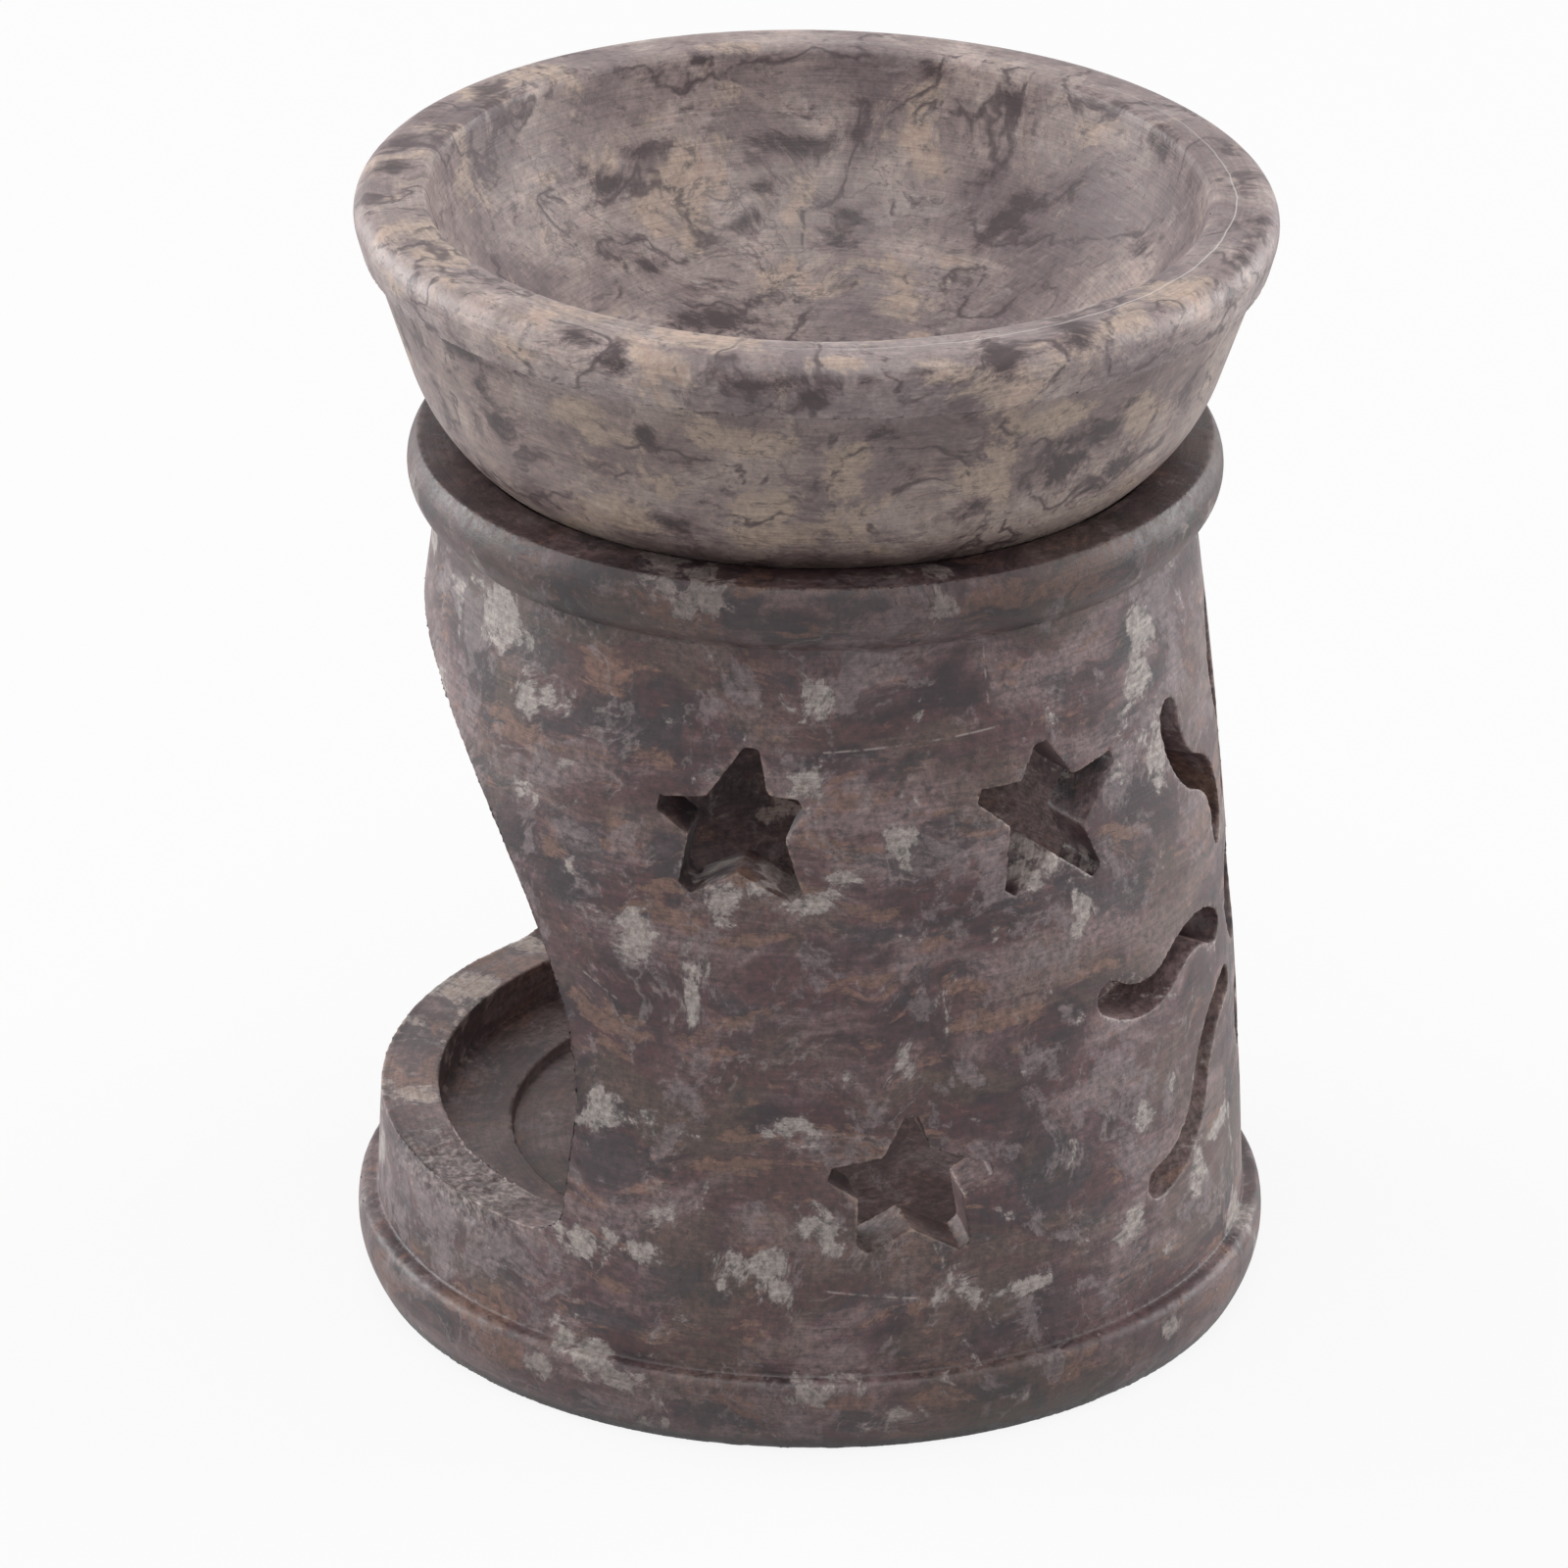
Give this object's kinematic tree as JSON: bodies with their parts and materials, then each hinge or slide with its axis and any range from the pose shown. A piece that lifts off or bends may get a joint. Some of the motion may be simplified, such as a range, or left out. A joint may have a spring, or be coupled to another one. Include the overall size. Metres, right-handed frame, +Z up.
{
  "type": "essential oil burner",
  "caption": "Soapstone oil burner: a hollow tapering chamber with an arched candle opening, cut stars and a cut sun, carrying a loose round bowl for scented oil.",
  "frame": {"origin": "centre of the flat base", "axes": "+Z up along the turning axis, -Y out of the arched candle opening, +Y out of the cut sun"},
  "size_m": [0.08, 0.08, 0.101],
  "materials": {
    "body_stone": "satin soapstone",
    "bowl_stone": "satin soapstone"
  },
  "bodies": {
    "body": {"burner_body": "body_stone"},
    "bowl": {"oil_bowl": "bowl_stone"}
  },
  "joints": [
    {"name": "bowl_lift", "type": "slide", "parent": "body", "child": "bowl", "axis": [0, 0, 1], "range_m": [0, 0.05]}
  ]
}
